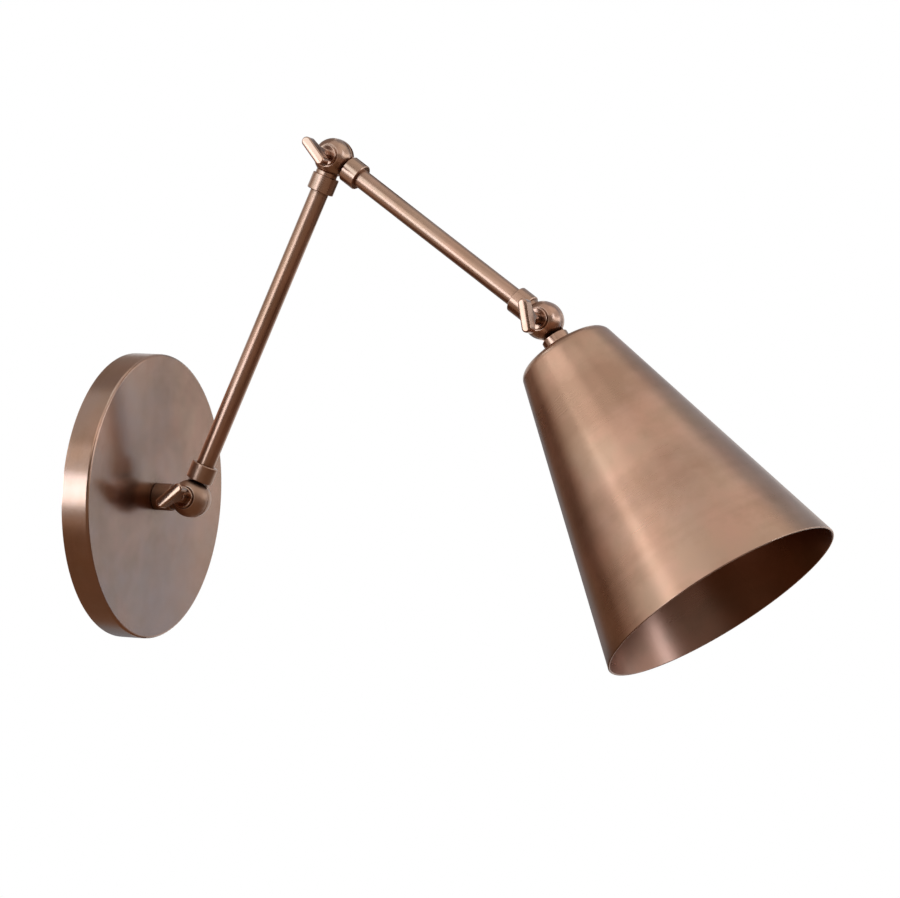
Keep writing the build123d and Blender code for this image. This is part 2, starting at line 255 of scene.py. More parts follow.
def aged_copper(
    name, finish, grain, roughness,
    banding=0.3, cooling=0.5, reach=6.0 * MM, tarnish_and_shade_strength=0.85, inner=None, swell=None,
):
    """Copper under a rubbed brown patina, with tool marks, soft clouds and worn edges. Its seams darken with
    tarnish and painted shade, and the inner side of a shade gets painted shade.
    """
    material, recipe = new_material(name)
    place = recipe.place()
    turned = grain(recipe)
    marks = recipe.noise(turned, scale=1.0, detail=2.0, roughness=0.5)
    bands = recipe.noise(turned, scale=0.16, detail=2.0, roughness=0.5)
    drift = recipe.noise(turned, scale=0.045, detail=2.0, roughness=0.5)
    clouds = recipe.noise(place, scale=24.0, detail=4.0, roughness=0.55)
    blotches = recipe.noise(place, scale=110.0, detail=4.0, roughness=0.6)
    flush = recipe.noise(recipe.vector("ADD", place, FLUSH_SHIFT), scale=42.0, detail=3.0, roughness=0.5)
    veil = recipe.noise(recipe.vector("ADD", place, VEIL_SHIFT), scale=15.0, detail=3.0, roughness=0.5)
    rings = (bands * 0.4 + drift * 1.2 - 0.8) * banding
    cover = clouds * 0.5 + blotches * 0.2 + marks * 0.04 + rings
    patina = recipe.ramp(cover, ((0.27, 1.0), (0.46, 0.0)))
    rosy = recipe.ramp(flush * 0.8 + blotches * 0.2, ((0.40, 0.0), (0.60, 1.0)))
    bloom = recipe.ramp(veil * 0.75 + blotches * 0.25, ((0.42, 0.0), (0.62, 1.0)))
    seam_tarnish_and_shade = recipe.ramp(recipe.occlusion(reach, False), ((0.30, 1.0), (0.85, 0.0)))
    edge = recipe.ramp(recipe.occlusion(0.55 * MM, True), ((0.55, 1.0), (0.9, 0.0)))
    colour = recipe.mix(rosy, rgba(finish.olive), rgba(finish.rose))
    colour = recipe.mix(patina * 0.7, colour, rgba(finish.patina))
    colour = recipe.mix(bloom * cooling, colour, rgba(finish.bloom))
    # Darker, redder inner side of the shade: painted shade, and painted red reflection of the copper.
    if inner:
        painted_inner_shade = recipe.mix(rosy, rgba(finish.inside), rgba(finish.inner_red_reflection))
        colour = recipe.mix(inner(recipe) * 0.7, colour, painted_inner_shade)
    # Seams darken towards the tarnish colour: real tarnish in the hollows, and painted shade where the reach is
    # long.
    colour = recipe.mix(seam_tarnish_and_shade * tarnish_and_shade_strength, colour, rgba(finish.tarnish_and_shade))
    colour = recipe.mix(edge * (0.55 + 0.35 * blotches), colour, rgba(finish.worn))
    gloss = roughness + 0.10 * (clouds - 0.5) + 0.04 * (marks - 0.5) + 0.06 * seam_tarnish_and_shade - 0.05 * edge
    relief = (marks * 0.2 + bands * banding) * (0.011 * MM)
    recipe.surface(
        base_color=colour,
        metallic=1.0,
        roughness=gloss,
        coat_weight=0.12 - 0.1 * seam_tarnish_and_shade,
        coat_roughness=0.22,
        normal=recipe.bump(relief, swell(recipe) if swell else None),
    )
    return material


def zinc_steel(finish):
    """Zinc plate with a faint bluish and straw bloom over drawn steel."""
    material, recipe = new_material("zinc_plated_steel")
    place = recipe.place()
    spangle = recipe.noise(place, scale=420.0, detail=4.0, roughness=0.6)
    tint = recipe.noise(place, scale=70.0, detail=3.0, roughness=0.5)
    straw = recipe.ramp(tint, ((0.42, 0.0), (0.66, 1.0)))
    drawn = drawn_grain(recipe, wall_centre, pivot_axis, fineness=2600.0, stretch=60.0)
    strokes = recipe.noise(drawn, scale=1.0, detail=3.0, roughness=0.5)
    edge = recipe.ramp(recipe.occlusion(0.4 * MM, True), ((0.5, 1.0), (0.9, 0.0)))
    colour = recipe.mix(straw * 0.45, rgba(finish.zinc), rgba(finish.straw))
    colour = recipe.mix(edge * 0.4, colour, rgba(finish.bare_steel))
    recipe.surface(
        base_color=colour,
        metallic=1.0,
        roughness=0.3 + 0.18 * spangle + 0.08 * strokes,
        normal=recipe.bump((spangle + strokes) * (0.006 * MM)),
    )
    return material


def bright_brass(finish):
    """Pressed brass, a little dulled by handling."""
    material, recipe = new_material("pressed_brass")
    place = recipe.place()
    handled = recipe.noise(place, scale=140.0, detail=5.0, roughness=0.6)
    dulled = recipe.ramp(handled, ((0.4, 0.0), (0.7, 1.0)))
    turned = turned_grain(recipe, lamp_seat, shade_axis, fineness=3000.0, sweep=2.0)
    strokes = recipe.noise(turned, scale=1.0, detail=3.0, roughness=0.5)
    seam_tarnish_and_shade = recipe.ramp(recipe.occlusion(2.0 * MM, False), ((0.2, 1.0), (0.8, 0.0)))
    colour = recipe.mix(dulled * 0.5, rgba(finish.brass), rgba(finish.dull_brass))
    colour = recipe.mix(seam_tarnish_and_shade * 0.5, colour, rgba(finish.tarnish_and_shade))
    recipe.surface(
        base_color=colour,
        metallic=1.0,
        roughness=0.2 + 0.2 * dulled + 0.06 * strokes,
        normal=recipe.bump(strokes * (0.01 * MM)),
    )
    return material


def moulded_phenolic(finish):
    """Dark moulded resin with fine flecks and a dull skin."""
    material, recipe = new_material("moulded_phenolic")
    place = recipe.place()
    grit = recipe.noise(place, scale=2200.0, detail=2.0, roughness=0.5)
    fleck = recipe.ramp(grit, ((0.62, 0.0), (0.74, 1.0)))
    skin = recipe.noise(place, scale=300.0, detail=4.0, roughness=0.6)
    recipe.surface(
        base_color=recipe.mix(fleck * 0.6, rgba(finish.phenolic), rgba(finish.phenolic_fleck)),
        roughness=0.34 + 0.2 * skin,
        normal=recipe.bump(skin * (0.016 * MM)),
    )
    return material


def wire_jacket(finish):
    """Soft plastic insulation with a faint drag texture and dust."""
    material, recipe = new_material("wire_jacket")
    place = recipe.place()
    lint = recipe.noise(place, scale=260.0, detail=4.0, roughness=0.6)
    dust = recipe.ramp(lint, ((0.5, 0.0), (0.75, 1.0)))
    drag = recipe.noise(place, scale=1500.0, detail=2.0, roughness=0.5)
    recipe.surface(
        base_color=recipe.mix(dust * 0.35, rgba(finish.jacket), rgba(finish.jacket_dust)),
        roughness=0.42 + 0.2 * dust,
        normal=recipe.bump(drag * (0.009 * MM)),
    )
    return material


def earth_dye(finish):
    """Green dyed steel, thin on its edges."""
    material, recipe = new_material("green_dyed_steel")
    thin = recipe.noise(recipe.place(), scale=500.0, detail=4.0, roughness=0.6)
    edge = recipe.ramp(recipe.occlusion(0.3 * MM, True), ((0.5, 1.0), (0.9, 0.0)))
    colour = recipe.mix(thin * 0.35, rgba(finish.earth_green), rgba(finish.earth_green_thin))
    recipe.surface(
        base_color=recipe.mix(edge * 0.5, colour, rgba(finish.bare_steel)),
        metallic=0.75,
        roughness=0.3 + 0.2 * thin,
        normal=recipe.bump(thin * (0.008 * MM)),
    )
    return material


def dress(material, *nodes):
    """Give the light's own nodes a material."""
    for name in nodes:
        slots = frame["nodes"][name].data.materials
        slots.clear()
        slots.append(material)


def axis_matrix(origin, axis):
    """Placing matrix whose z runs along an axis."""
    turn = axis.to_track_quat("Z", "Y").to_matrix().to_4x4()
    return Matrix.Translation(origin) @ turn


def link_mesh(name, mesh):
    """Turn a bmesh into an object of the scene."""
    data = bpy.data.meshes.new(name)
    mesh.to_mesh(data)
    mesh.free()
    piece = bpy.data.objects.new(name, data)
    bpy.context.scene.collection.objects.link(piece)
    return piece


def tube_mesh(name, rings, sides, matrix):
    """Closed tube from rings of (height, radius at an angle), the last joined to the first."""
    mesh = bmesh.new()
    loops = []
    for height, radius in rings:
        loop = []
        for step in range(sides):
            angle = 2 * pi * step / sides
            reach = radius(angle)
            point = Vector((reach * cos(angle), reach * sin(angle), height))
            loop.append(mesh.verts.new(matrix @ point))
        loops.append(loop)
    for loop, following in zip(loops, loops[1:] + loops[:1]):
        for step in range(sides):
            beside = (step + 1) % sides
            face = mesh.faces.new((loop[step], loop[beside], following[beside], following[step]))
            face.smooth = True
    bmesh.ops.recalc_face_normals(mesh, faces=mesh.faces)
    return link_mesh(name, mesh)


def helix_radius(height, length, pitch, mean, swing):
    """Radius of a thread at one height, as a function of the angle, run out at both ends."""
    fade = min(1.0, height / pitch, (length - height) / pitch)

    def radius(angle):
        return mean + fade * swing * cos(2 * pi * height / pitch - angle)

    return radius


def threaded_tube(name, matrix, length, pitch, inner, outer, sides, steps):
    """Tube whose inner and outer walls each have a mean radius and a thread's half depth."""
    count = round(length / pitch * steps)
    heights = [length * step / count for step in range(count + 1)]
    rings = [(height, helix_radius(height, length, pitch, *outer)) for height in heights]
    rings += [(height, helix_radius(height, length, pitch, *inner)) for height in reversed(heights)]
    return tube_mesh(name, rings, sides, matrix)


class WallLightFinish(bpy.types.PropertyGroup):
    """Colours of the light's finishes, and of the painted shade in its seams and inside the lamp's shade."""

    rose: FloatVectorProperty(
        name="Rose", description="Rosy copper", subtype="COLOR", default=(0.53, 0.300, 0.203)
    )
    olive: FloatVectorProperty(
        name="Olive", description="Olive tint in the copper", subtype="COLOR", default=(0.475, 0.296, 0.197)
    )
    patina: FloatVectorProperty(
        name="Patina", description="Brown patina", subtype="COLOR", default=(0.36, 0.205, 0.13)
    )
    bloom: FloatVectorProperty(
        name="Bloom", description="Cool, grey bloom", subtype="COLOR", default=(0.42, 0.285, 0.225)
    )
    # Painted shade on the inner side of the shade.
    inside: FloatVectorProperty(
        name="Inside", description="Dark inside of the shade", subtype="COLOR", default=(0.235, 0.128, 0.088)
    )
    # Painted red reflection of the copper inside the shade.
    inner_red_reflection: FloatVectorProperty(
        name="Ember", description="Heat tint inside the shade", subtype="COLOR", default=(0.30, 0.15, 0.10)
    )
    # Colour that seams darken towards: tarnish, and painted shade round the wall stem and next to the collars.
    tarnish_and_shade: FloatVectorProperty(
        name="Tarnish", description="Dark tarnish in seams", subtype="COLOR", default=(0.06, 0.028, 0.016)
    )
    worn: FloatVectorProperty(
        name="Worn", description="Bright copper on worn edges", subtype="COLOR", default=(0.78, 0.55, 0.43)
    )
    zinc: FloatVectorProperty(
        name="Zinc", description="Zinc plate", subtype="COLOR", default=(0.58, 0.59, 0.60)
    )
    straw: FloatVectorProperty(
        name="Straw", description="Straw tint on zinc", subtype="COLOR", default=(0.60, 0.54, 0.38)
    )
    bare_steel: FloatVectorProperty(
        name="Bare Steel", description="Steel on edges", subtype="COLOR", default=(0.66, 0.65, 0.63)
    )
    brass: FloatVectorProperty(
        name="Brass", description="Bright brass", subtype="COLOR", default=(0.75, 0.55, 0.25)
    )
    dull_brass: FloatVectorProperty(
        name="Dull Brass", description="Handled brass", subtype="COLOR", default=(0.50, 0.34, 0.15)
    )
    phenolic: FloatVectorProperty(
        name="Phenolic", description="Moulded resin", subtype="COLOR", default=(0.022, 0.018, 0.016)
    )
    phenolic_fleck: FloatVectorProperty(
        name="Fleck", description="Flecks in the resin", subtype="COLOR", default=(0.08, 0.06, 0.045)
    )
    jacket: FloatVectorProperty(
        name="Wire Jacket", description="Wire insulation", subtype="COLOR", default=(0.028, 0.027, 0.026)
    )
    jacket_dust: FloatVectorProperty(
        name="Dust", description="Dust on the wires", subtype="COLOR", default=(0.12, 0.11, 0.10)
    )
    earth_green: FloatVectorProperty(
        name="Earth Green", description="Dye of the earth screw", subtype="COLOR", default=(0.03, 0.20, 0.07)
    )
    earth_green_thin: FloatVectorProperty(
        name="Thin Green", description="Thin dye", subtype="COLOR", default=(0.12, 0.34, 0.16)
    )
    polish: FloatProperty(
        name="Polish", description="Roughness of the copper", subtype="FACTOR",
        default=0.27, min=0.05, max=0.8,
    )
    crown: FloatProperty(
        name="Crown", description="Swell of the plate's face", unit="LENGTH", default=1.5 * MM
    )


class WallLightThreads(bpy.types.PropertyGroup):
    """Sizes of the threads that show."""

    socket_pitch: FloatProperty(
        name="Socket Pitch", description="Rise of the lamp thread", unit="LENGTH", default=3.63 * MM
    )
    socket_depth: FloatProperty(
        name="Socket Depth", description="Depth of the lamp thread", unit="LENGTH", default=0.75 * MM
    )
    socket_wall: FloatProperty(
        name="Socket Wall", description="Sheet of the screw shell", unit="LENGTH", default=0.45 * MM
    )
    pipe_pitch: FloatProperty(
        name="Pipe Pitch", description="Rise of the pipe thread", unit="LENGTH", default=0.94 * MM
    )
    pipe_depth: FloatProperty(
        name="Pipe Depth", description="Depth of the pipe thread", unit="LENGTH", default=0.5 * MM
    )
    pipe_bore: FloatProperty(
        name="Pipe Bore", description="Inner radius of the nipple", unit="LENGTH", default=3.6 * MM
    )


class WallLightStudio(bpy.types.PropertyGroup):
    """Camera, fill, cards, floor and the dark cloth on it."""

    aim: FloatVectorProperty(
        name="Aim", description="Point that the camera looks at", subtype="XYZ", unit="LENGTH",
        default=(0.0195, -0.1759, 0.0343),
    )
    azimuth: FloatProperty(
        name="Azimuth", description="Camera's turn round the light", subtype="ANGLE", default=radians(-66.01)
    )
    elevation: FloatProperty(
        name="Elevation", description="Camera's height angle", subtype="ANGLE", default=radians(-2.69)
    )
    roll: FloatProperty(
        name="Roll", description="Camera's tilt", subtype="ANGLE", default=radians(4.08)
    )
    distance: FloatProperty(
        name="Distance", description="Camera to aim", unit="LENGTH", default=2.16
    )
    lens: FloatProperty(
        name="Lens", description="Focal length in millimetres", unit="CAMERA", default=164.87, min=20.0
    )
    fill: FloatProperty(
        name="Fill", description="Even light from all round", default=1.0, min=0.0
    )
    card_radius: FloatProperty(
        name="Card Radius", description="Cards to aim", unit="LENGTH", default=4.5
    )
    floor_drop: FloatProperty(
        name="Floor Drop", description="Floor below the wall plate's centre", unit="LENGTH", default=0.4
    )
    floor_radius: FloatProperty(
        name="Floor Radius", description="Reach of the floor", unit="LENGTH", default=1.5
    )
    flag_radius: FloatProperty(
        name="Flag Radius", description="Reach of the dark cloth on the floor", unit="LENGTH", default=0.8
    )
    flag_shift: FloatProperty(
        name="Flag Shift", description="Cloth's shift towards the camera", unit="LENGTH", default=0.35
    )
    flag_height: FloatProperty(
        name="Flag Height", description="Cloth's height over the floor", unit="LENGTH", default=0.02
    )
    floor_colour: FloatVectorProperty(
        name="Floor", description="Pale floor", subtype="COLOR", default=(0.82, 0.81, 0.80)
    )
    floor_grain: FloatVectorProperty(
        name="Floor Grain", description="Grain in the floor", subtype="COLOR", default=(0.7, 0.69, 0.68)
    )
    flag_colour: FloatVectorProperty(
        name="Flag", description="Dark cloth on the floor", subtype="COLOR", default=(0.21, 0.13, 0.085)
    )


class WALLLIGHT_OT_backplate(bpy.types.Operator):
    """Finish the spun backplate"""

    bl_idname = "wall_light.backplate"
    bl_label = "Backplate"
    bl_options = {"REGISTER", "UNDO"}

    def execute(self, context):
        finish = context.scene.wall_light_finish

        def spun(recipe):
            return turned_grain(recipe, wall_centre, wall_axis, fineness=600.0, sweep=1.6)

        def crown(recipe):
            low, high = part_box("backplate")
            return swelling_normal(recipe, wall_centre, wall_axis, (high.x - low.x) / 2, finish.crown)

        roughness = finish.polish - 0.04
        # The long reach paints shade round the stem onto the plate's face, as well as tarnish in its seams.
        finished = aged_copper(
            "spun_copper_plate", finish, spun, roughness, cooling=0.8, reach=16 * MM, swell=crown
        )
        dress(finished, "backplate")
        return {"FINISHED"}


class WALLLIGHT_OT_arms(bpy.types.Operator):
    """Finish the two drawn arm pipes"""

    bl_idname = "wall_light.arms"
    bl_label = "Arm Pipes"
    bl_options = {"REGISTER", "UNDO"}

    def execute(self, context):
        finish = context.scene.wall_light_finish
        arms = {
            "lower_arm_tube": (wall_pivot, lower_axis),
            "upper_arm_tube": (elbow_pivot, upper_axis),
        }
        for name, (pivot, axis) in arms.items():

            def drawn(recipe):
                return drawn_grain(recipe, pivot, axis, fineness=700.0, stretch=20.0)

            roughness = finish.polish + 0.03
            dress(aged_copper("drawn_copper_" + name, finish, drawn, roughness), name)
        return {"FINISHED"}


class WALLLIGHT_OT_swivels(bpy.types.Operator):
    """Finish the swivel halves, turned about their pivots"""

    bl_idname = "wall_light.swivels"
    bl_label = "Swivels"
    bl_options = {"REGISTER", "UNDO"}

    def execute(self, context):
        finish = context.scene.wall_light_finish
        # Pivot, reach and strength of the darkening in seams, added roughness, halves. The darkening is tarnish
        # and painted shade: on the wall base its long reach paints shade along the stem, and on the shade swivel
        # it paints a dark band on the ball next to the collar.
        swivels = {
            "wall_base": (wall_pivot, 32 * MM, 0.95, 0.22, ("wall_swivel_base",)),
            "wall": (wall_pivot, 6 * MM, 0.3, 0.12, ("wall_swivel_arm",)),
            "elbow": (elbow_pivot, 6 * MM, 0.3, 0.0, ("elbow_lower_half", "elbow_upper_half")),
            "shade": (shade_pivot, 6 * MM, 0.55, 0.0, ("shade_swivel_arm", "shade_swivel_head")),
        }
        for name, (pivot, reach, tarnish_and_shade_strength, dulling, halves) in swivels.items():

            def turned(recipe):
                return turned_grain(recipe, pivot, pivot_axis, fineness=1500.0, sweep=2.0)

            roughness = finish.polish - 0.02 + dulling
            finished = aged_copper(
                f"turned_copper_{name}_swivel", finish, turned, roughness, reach=reach, tarnish_and_shade_strength=tarnish_and_shade_strength
            )
            dress(finished, *halves)
        return {"FINISHED"}


class WALLLIGHT_OT_thumb_screws(bpy.types.Operator):
    """Finish the cast thumb screws, rubbed bright by fingers"""

    bl_idname = "wall_light.thumb_screws"
    bl_label = "Thumb Screws"
    bl_options = {"REGISTER", "UNDO"}

    def execute(self, context):
        finish = context.scene.wall_light_finish
        screws = {
            "wall_thumb_screw": wall_pivot,
            "elbow_thumb_screw": elbow_pivot,
            "shade_thumb_screw": shade_pivot,
        }
        for name, pivot in screws.items():

            def rubbed(recipe):
                return drawn_grain(recipe, pivot, pivot_axis, fineness=900.0, stretch=500.0)

            roughness = finish.polish - 0.11
            dress(aged_copper("cast_copper_" + name, finish, rubbed, roughness), name)
        return {"FINISHED"}


class WALLLIGHT_OT_shade(bpy.types.Operator):
    """Finish the spun shade"""

    bl_idname = "wall_light.shade"
    bl_label = "Shade"
    bl_options = {"REGISTER", "UNDO"}

    def execute(self, context):
        finish = context.scene.wall_light_finish

        def spun(recipe):
            return turned_grain(recipe, shade_pivot, shade_axis, fineness=700.0, sweep=1.4)

        def inside(recipe):
            return inner_side(recipe, shade_pivot, shade_axis)

        roughness = finish.polish + 0.02
        # Its inner side gets painted shade and a painted red reflection.
        finished = aged_copper(
            "spun_copper_shade", finish, spun, roughness, banding=0.5, cooling=0.3, inner=inside
        )
        dress(finished, "shade")
        return {"FINISHED"}


class WALLLIGHT_OT_fittings(bpy.types.Operator):
    """Finish the steel fittings and cut the thread of the mounting nipple"""

    bl_idname = "wall_light.fittings"
    bl_label = "Fittings"
    bl_options = {"REGISTER", "UNDO"}

    def execute(self, context):
        finish = context.scene.wall_light_finish
        threads = context.scene.wall_light_threads
        steel = zinc_steel(finish)
        dress(
            steel,
            "mounting_crossbar", "nipple_washer", "nipple_lock_nut",
            "shade_nipple", "shade_washer", "shade_lock_nut",
            "wall_friction_washer", "elbow_friction_washer", "shade_friction_washer",
        )
        dress(earth_dye(finish), "ground_screw")
        low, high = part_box("mounting_nipple")
        crest = (high.x - low.x) / 2
        half_depth = threads.pipe_depth / 2
        nipple = threaded_tube(
            "threaded_mounting_nipple",
            axis_matrix(Vector((0, high.y, 0)), wall_axis),
            high.y - low.y,
            threads.pipe_pitch,
            (threads.pipe_bore, 0.0),
            (crest - half_depth, half_depth),
            sides=56,
            steps=8,
        )
        nipple.data.materials.append(steel)
        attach(nipple, "wall_mount")
        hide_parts("mounting_nipple")
        return {"FINISHED"}


class WALLLIGHT_OT_socket(bpy.types.Operator):
    """Finish the lamp socket and roll the thread of its screw shell"""

    bl_idname = "wall_light.socket"
    bl_label = "Lamp Socket"
    bl_options = {"REGISTER", "UNDO"}

    def execute(self, context):
        finish = context.scene.wall_light_finish
        threads = context.scene.wall_light_threads
        brass = bright_brass(finish)

        def spun(recipe):
            return turned_grain(recipe, lamp_seat, shade_axis, fineness=1200.0, sweep=1.6)

        dress(aged_copper("spun_copper_cap", finish, spun, finish.polish), "socket_cap")
        dress(moulded_phenolic(finish), "socket_body")
        dress(brass, "socket_contact", "socket_terminal_screws")
        thread = mounts["lamp_socket"]["dims"]
        half_depth = threads.socket_depth / 2
        inner = thread["r_mm"] * MM - half_depth
        length = thread["length_mm"] * MM
        shell = threaded_tube(
            "rolled_screw_shell",
            axis_matrix(lamp_seat - shade_axis * length, shade_axis),
            length,
            threads.socket_pitch,
            (inner, half_depth),
            (inner + threads.socket_wall, half_depth),
            sides=96,
            steps=14,
        )
        shell.data.materials.append(brass)
        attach(shell, "shade_head")
        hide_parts("socket_screw_shell")
        return {"FINISHED"}


class WALLLIGHT_OT_wires(bpy.types.Operator):
    """Finish the wires inside the arms"""

    bl_idname = "wall_light.wires"
    bl_label = "Wires"
    bl_options = {"REGISTER", "UNDO"}

    def execute(self, context):
        dress(
            wire_jacket(context.scene.wall_light_finish),
            "base_wires", "lower_arm_wires", "upper_arm_wires", "head_wires",
        )
        return {"FINISHED"}


def seen_directly(recipe):
    """One where a ray comes from the camera, a reflection or a refraction."""
    path = recipe.node("ShaderNodeLightPath")
    rays = path["Is Camera Ray"] + path["Is Glossy Ray"] + path["Is Transmission Ray"]
    return recipe.math("MINIMUM", rays, 1.0)


def camera_axes(studio):
    """The camera's right, up and back directions before its roll."""
    turn, rise = studio.azimuth, studio.elevation
    back = Vector((sin(turn) * cos(rise), -cos(turn) * cos(rise), sin(rise)))
    right = Vector((cos(turn), sin(turn), 0))
    return right, back.cross(right), back


def set_camera(scene, studio):
    """Camera at the studio's angle, tilted by its roll."""
    right, up, back = camera_axes(studio)
    tilted_right = right * cos(studio.roll) + up * sin(studio.roll)
    tilted_up = up * cos(studio.roll) - right * sin(studio.roll)
    turn = Matrix((tilted_right, tilted_up, back)).transposed().to_4x4()
    camera = bpy.data.objects.new("camera", bpy.data.cameras.new("camera"))
    camera.data.lens = studio.lens
    camera.data.clip_end = CAMERA_CLIP
    camera.matrix_world = Matrix.Translation(Vector(studio.aim) + back * studio.distance) @ turn
    scene.collection.objects.link(camera)
    scene.camera = camera


def set_world(scene, studio):
    """White where it is seen, an even fill for everything else."""
    world = bpy.data.worlds.new("studio_room")
    scene.world = world
    recipe = Recipe(world)
    seen = seen_directly(recipe)
    room = recipe.node("ShaderNodeBackground", {}, {
        "Color": (1.0, 1.0, 1.0, 1.0), "Strength": seen + (1 - seen) * studio.fill
    })
    recipe.node("ShaderNodeOutputWorld", {}, {"Surface": room})
    world.cycles.sampling_method = "NONE"


def studio_direction(studio, turn, rise):
    """Direction from the light, at an angle right of the camera and an angle above level."""
    right, _, back = camera_axes(studio)
    level = Vector((back.x, back.y, 0)).normalized()
    return (level * cos(turn) + right * sin(turn)) * cos(rise) + Vector((0, 0, sin(rise)))


def set_soft_box(scene, studio, name, turn, rise, distance, size, level, colour):
    """Soft box that faces the light, with a face of an even brightness."""
    width, height = size
    direction = studio_direction(studio, radians(turn), radians(rise))
    lamp = bpy.data.lights.new(name, "AREA")
    lamp.shape = "RECTANGLE"
    lamp.size = width
    lamp.size_y = height
    lamp.energy = level * pi * width * height
    lamp.color = colour
    box = bpy.data.objects.new(name, lamp)
    place = Matrix.Translation(Vector(studio.aim) + direction * distance)
    box.matrix_world = place @ direction.to_track_quat("Z", "Y").to_matrix().to_4x4()
    box.visible_camera = False
    scene.collection.objects.link(box)


def stage_mesh(name, mesh, material):
    """Link a stage piece from a bmesh."""
    piece = link_mesh(name, mesh)
    piece.data.materials.append(material)
    return piece


def set_floor(studio):
    """Pale disc that takes the light's shadow and melts into the white room at its edge."""
    material, recipe = new_material("pale_floor")
    place = recipe.place()
    reach = recipe.vector("LENGTH", place)["Value"] / studio.floor_radius
    grain = recipe.noise(place, scale=6.0, detail=4.0, roughness=0.5)
    melt = recipe.ramp(reach, ((0.35, 0.0), (0.95, 1.0)))
    paint = recipe.node("ShaderNodeBsdfDiffuse", {}, {
        "Color": recipe.mix(grain * 0.04, rgba(studio.floor_colour), rgba(studio.floor_grain))
    })
    glow = recipe.node("ShaderNodeEmission", {}, {"Strength": seen_directly(recipe)})
    clear = recipe.node("ShaderNodeBsdfTransparent")
    upper = recipe.node("ShaderNodeMixShader", {}, {0: melt, 1: paint, 2: glow})
    behind = recipe.node("ShaderNodeNewGeometry")["Backfacing"]
    both = recipe.node("ShaderNodeMixShader", {}, {0: behind, 1: upper, 2: clear})
    recipe.node("ShaderNodeOutputMaterial", {}, {"Surface": both})
    mesh = bmesh.new()
    bmesh.ops.create_circle(mesh, cap_ends=True, segments=FLOOR_SIDES, radius=studio.floor_radius)
    floor = stage_mesh("floor", mesh, material)
    floor.location = (studio.aim[0], studio.aim[1], -studio.floor_drop)
    floor.visible_glossy = False


def hide_from_camera(card):
    """Leave a card to reflections alone."""
    for ray in ("camera", "diffuse", "transmission", "volume_scatter", "shadow"):
        setattr(card, "visible_" + ray, False)


def card_material(name, tone):
    """One tone on the side that faces the light and nothing on the other."""
    material, recipe = new_material(name)
    tint = recipe.node("ShaderNodeEmission", {}, {"Color": rgba(tone)})
    clear = recipe.node("ShaderNodeBsdfTransparent")
    behind = recipe.node("ShaderNodeNewGeometry")["Backfacing"]
    both = recipe.node("ShaderNodeMixShader", {}, {0: behind, 1: tint, 2: clear})
    recipe.node("ShaderNodeOutputMaterial", {}, {"Surface": both})
    return material


def set_card(studio, name, turns, rises, tone, centre, radius):
    """Curved card round a point, between two angles right of the camera and two angles above level."""
    mesh = bmesh.new()
    columns = []
    for across in range(CARD_STEPS + 1):
        turn = radians(turns[0] + (turns[1] - turns[0]) * across / CARD_STEPS)
        column = []
        for upward in range(CARD_STEPS + 1):
            rise = radians(rises[0] + (rises[1] - rises[0]) * upward / CARD_STEPS)
            reach = studio_direction(studio, turn, rise) * radius
            column.append(mesh.verts.new(centre + reach))
        columns.append(column)
    for column, following in zip(columns, columns[1:]):
        for step in range(CARD_STEPS):
            mesh.faces.new((column[step], column[step + 1], following[step + 1], following[step]))
    hide_from_camera(stage_mesh(name, mesh, card_material(name, tone)))


def reach_along(name, origin, axis):
    """How far a node of the light reaches from a point along an axis."""
    return max((vertex.co - origin).dot(axis) for vertex in frame["nodes"][name].data.vertices)


def set_floor_flag(studio):
    """Dark cloth just over the floor, which only reflections see."""
    mesh = bmesh.new()
    bmesh.ops.create_circle(mesh, cap_ends=True, segments=FLAG_SIDES, radius=studio.flag_radius)
    flag = stage_mesh("floor_flag", mesh, card_material("floor_flag", studio.flag_colour))
    place = Vector(studio.aim) + studio_direction(studio, 0, 0) * studio.flag_shift
    flag.location = (place.x, place.y, studio.flag_height - studio.floor_drop)
    hide_from_camera(flag)


